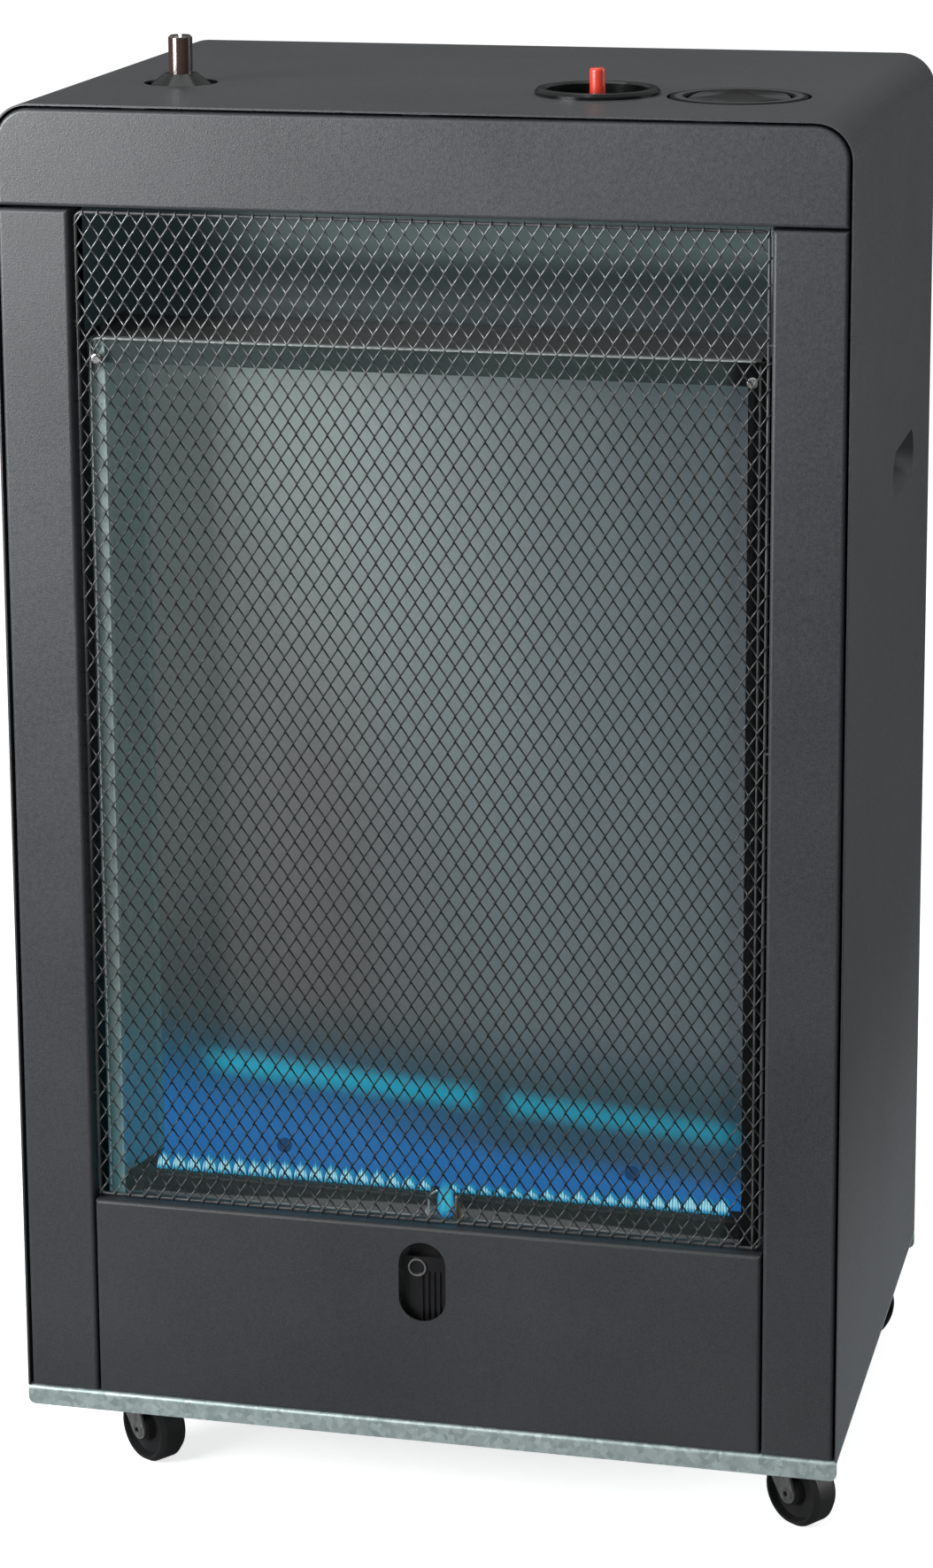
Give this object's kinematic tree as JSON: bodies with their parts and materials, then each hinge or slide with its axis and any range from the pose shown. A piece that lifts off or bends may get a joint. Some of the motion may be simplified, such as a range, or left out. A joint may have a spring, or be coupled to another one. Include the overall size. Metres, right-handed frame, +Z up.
{
  "type": "portable propane heater",
  "caption": "Free-standing cabinet gas heater on swivel castors, with a glazed flame chamber behind a mesh guard, controls on top and a bay for a gas bottle.",
  "frame": {"origin": "on the floor under the middle of the whole heater", "axes": "+Z up, the glass and mesh front faces -Y, +X to the right seen from the front"},
  "size_m": [0.45, 0.418, 0.7975],
  "materials": {
    "charcoal_coat": "fine-textured powder coat, satin",
    "galvanised": "spangled zinc coat, semi-bright",
    "chamber_steel": "rolled steel, heat-dulled",
    "back_panel": "dark glossy enamel",
    "burner_steel": "heat-stained steel, satin",
    "fire_glass": "clear polished",
    "mesh_wire": "plated wire, semi-bright",
    "plated_screws": "bright plated",
    "black_plastic": "moulded, satin to gloss",
    "brown_plastic": "moulded, glossy",
    "red_plastic": "moulded, glossy",
    "plated_steel": "bright plated",
    "brass": "turned, semi-bright",
    "steel_pipe": "drawn, satin",
    "copper_pipe": "drawn copper, satin",
    "thermocouple_copper": "drawn copper, dull",
    "silicone_lead": "silicone sleeve, matt",
    "ceramic": "glazed ceramic",
    "zinc_plate": "zinc plated, semi-bright",
    "castor_rubber": "moulded, satin"
  },
  "bodies": {
    "heater": {"base_tray": "galvanised", "burner": "burner_steel", "burner_shelf": "chamber_steel", "casing_wrap": "charcoal_coat", "castor_front_left_mount": "zinc_plate", "castor_front_right_mount": "zinc_plate", "castor_rear_left_mount": "zinc_plate", "castor_rear_right_mount": "zinc_plate", "chamber_back_panel": "back_panel", "chamber_screws": "plated_screws", "chamber_side_left": "chamber_steel", "chamber_side_right": "chamber_steel", "chamber_top_ledge": "chamber_steel", "control_rail": "galvanised", "gas_pipes": "steel_pipe", "gas_valve": "brass", "glass_panel": "fire_glass", "heat_shield": "galvanised", "hose_nozzle": "brass", "igniter_body": "black_plastic", "igniter_flange": "black_plastic", "ignition_lead": "silicone_lead", "injector": "brass", "knob_bezel": "black_plastic", "left_stile": "charcoal_coat", "lower_front_panel": "charcoal_coat", "mesh_frame_rod": "mesh_wire", "mesh_guard": "mesh_wire", "mixing_tube": "chamber_steel", "pilot_bracket": "plated_steel", "pilot_burner": "plated_steel", "pilot_pipe": "copper_pipe", "right_stile": "charcoal_coat", "safety_cup": "black_plastic", "safety_valve": "brass", "spark_electrode": "ceramic", "thermocouple": "thermocouple_copper", "tip_switch_bracket": "galvanised", "tip_switch_housing": "black_plastic", "tip_switch_ring": "plated_steel", "top_fascia": "charcoal_coat", "upper_hood": "galvanised"},
    "castor_front_left_swivel": {"castor_front_left_fork": "zinc_plate", "castor_front_left_axle": "plated_steel"},
    "castor_front_left_roll": {"castor_front_left_wheel": "castor_rubber"},
    "castor_front_right_swivel": {"castor_front_right_fork": "zinc_plate", "castor_front_right_axle": "plated_steel"},
    "castor_front_right_roll": {"castor_front_right_wheel": "castor_rubber"},
    "castor_rear_left_swivel": {"castor_rear_left_fork": "zinc_plate", "castor_rear_left_axle": "plated_steel"},
    "castor_rear_left_roll": {"castor_rear_left_wheel": "castor_rubber"},
    "castor_rear_right_swivel": {"castor_rear_right_fork": "zinc_plate", "castor_rear_right_axle": "plated_steel"},
    "castor_rear_right_roll": {"castor_rear_right_wheel": "castor_rubber"},
    "valve_stem": {"valve_spindle": "plated_steel"},
    "knob": {"control_knob": "black_plastic"},
    "safety_push": {"safety_button": "red_plastic"},
    "igniter_push": {"igniter_button": "brown_plastic"},
    "cover": {"rear_cover": "charcoal_coat", "rear_cover_screws": "plated_screws"}
  },
  "joints": [
    {"name": "swivel_front_left", "type": "hinge", "parent": "heater", "child": "castor_front_left_swivel", "pos_m": [-0.184, -0.147, 0.05], "axis": [0, 0, 1], "continuous": true},
    {"name": "wheel_front_left", "type": "hinge", "parent": "castor_front_left_swivel", "child": "castor_front_left_roll", "pos_m": [-0.16944, -0.15758, 0.02], "axis": [0.5878, 0.809, 0], "continuous": true},
    {"name": "swivel_front_right", "type": "hinge", "parent": "heater", "child": "castor_front_right_swivel", "pos_m": [0.184, -0.147, 0.05], "axis": [0, 0, 1], "continuous": true},
    {"name": "wheel_front_right", "type": "hinge", "parent": "castor_front_right_swivel", "child": "castor_front_right_roll", "pos_m": [0.19856, -0.15758, 0.02], "axis": [0.5878, 0.809, 0], "continuous": true},
    {"name": "swivel_rear_left", "type": "hinge", "parent": "heater", "child": "castor_rear_left_swivel", "pos_m": [-0.184, 0.081, 0.05], "axis": [0, 0, 1], "continuous": true},
    {"name": "wheel_rear_left", "type": "hinge", "parent": "castor_rear_left_swivel", "child": "castor_rear_left_roll", "pos_m": [-0.16944, 0.07042, 0.02], "axis": [0.5878, 0.809, 0], "continuous": true},
    {"name": "swivel_rear_right", "type": "hinge", "parent": "heater", "child": "castor_rear_right_swivel", "pos_m": [0.184, 0.081, 0.05], "axis": [0, 0, 1], "continuous": true},
    {"name": "wheel_rear_right", "type": "hinge", "parent": "castor_rear_right_swivel", "child": "castor_rear_right_roll", "pos_m": [0.19673, 0.09373, 0.02], "axis": [-0.7071, 0.7071, 0], "continuous": true},
    {"name": "valve_turn", "type": "hinge", "parent": "heater", "child": "valve_stem", "pos_m": [0.1505, -0.111, 0.752], "axis": [0, 0, 1], "range_deg": [0, 150]},
    {"name": "knob_push", "type": "slide", "parent": "valve_stem", "child": "knob", "axis": [0, 0, -1], "range_m": [0, 0.003], "stiffness_N_per_m": 800, "springref_m": -0.002},
    {"name": "safety_button_push", "type": "slide", "parent": "heater", "child": "safety_push", "axis": [0, 0, -1], "range_m": [0, 0.005], "stiffness_N_per_m": 600, "springref_m": -0.002},
    {"name": "igniter_button_push", "type": "slide", "parent": "heater", "child": "igniter_push", "axis": [0, 0, -1], "range_m": [0, 0.006], "stiffness_N_per_m": 900, "springref_m": -0.002},
    {"name": "cover_lift_off", "type": "slide", "parent": "heater", "child": "cover", "axis": [0, 1, 0], "range_m": [0, 0.12]}
  ]
}
